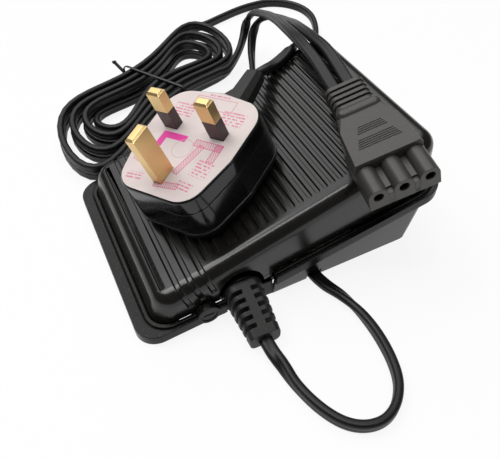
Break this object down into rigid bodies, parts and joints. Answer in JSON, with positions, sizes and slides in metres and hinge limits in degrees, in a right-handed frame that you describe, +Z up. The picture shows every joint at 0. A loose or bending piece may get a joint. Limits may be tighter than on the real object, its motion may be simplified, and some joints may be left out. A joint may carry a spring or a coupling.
{
  "type": "sewing machine foot pedal",
  "caption": "Ribbed rocking foot pedal on a flanged wedge base with a geared speed lever inside, a round-pin machine connector, a three-pin mains plug and a tied hank of flat lead",
  "frame": {"origin": "middle of the pedal's footprint on the floor", "axes": "+X from heel to toe, +Y to the side away from the lead's strain relief, +Z up"},
  "size_m": [0.188, 0.2944, 0.0749],
  "materials": {
    "black_shell": "satin",
    "plate_plastic": "matt",
    "foot_rubber": "matt",
    "screw_steel": "plated",
    "spring_steel": "drawn wire",
    "board": "phenolic paper",
    "pot_case": "satin",
    "white_nylon": "satin",
    "component_black": "matt",
    "sink_aluminium": "extruded",
    "capacitor_yellow": "satin",
    "choke_core": "wound",
    "resistor_body": "satin",
    "terminal_green": "satin",
    "lead_sheath": "satin",
    "soft_black": "satin",
    "tie_plastic": "satin",
    "connector_black": "moulded satin",
    "contact_brass": "bright",
    "plug_black": "polished",
    "card": "printed",
    "sleeve_plastic": "satin",
    "fuse_ceramic": "glazed"
  },
  "bodies": {
    "base": {"base_tray": "black_shell", "bottom_plate": "plate_plastic", "rubber_feet": "foot_rubber", "base_screws": "screw_steel", "pivot_pins": "screw_steel", "return_springs": "spring_steel", "circuit_board": "board", "pcb_screws": "screw_steel", "potentiometer": "pot_case", "triac": "component_black", "heat_sink": "sink_aluminium", "triac_screw": "screw_steel", "suppression_capacitor": "capacitor_yellow", "choke": "choke_core", "resistors": "resistor_body", "terminal_block": "terminal_green", "inner_lead": "lead_sheath", "cable_clamp": "plate_plastic", "clamp_screws": "screw_steel", "strain_relief": "soft_black", "travel_pads": "foot_rubber", "pedal_cord": "lead_sheath", "mains_cord": "lead_sheath", "connector_cord": "lead_sheath", "cord_hank": "lead_sheath", "twist_tie": "tie_plastic", "connector_shell": "connector_black", "contact_block": "connector_black", "contact_sleeves": "contact_brass", "plug_body": "plug_black", "plug_face": "plug_black", "plug_card": "card", "earth_pin": "contact_brass", "line_pins": "contact_brass", "pin_sleeves": "sleeve_plastic", "plug_fuse": "fuse_ceramic", "plug_boot": "soft_black"},
    "treadle": {"treadle_cover": "black_shell"},
    "lever": {"speed_lever": "white_nylon"}
  },
  "joints": [
    {"name": "treadle_hinge", "type": "hinge", "parent": "base", "child": "treadle", "pos_m": [-0.0388, 0, 0.007], "axis": [0, 1, 0], "range_deg": [0, 1.9], "stiffness_Nm_per_rad": 6, "springref_deg": -5.73, "deforming": ["return_springs"]},
    {"name": "lever_turn", "type": "hinge", "parent": "base", "child": "lever", "pos_m": [0.03, 0, 0.02], "axis": [0, 1, 0], "range_deg": [0, 15.58]}
  ],
  "couplings": [
    {"joint": "lever_turn", "follows": "treadle_hinge", "ratio": 8.2}
  ]
}
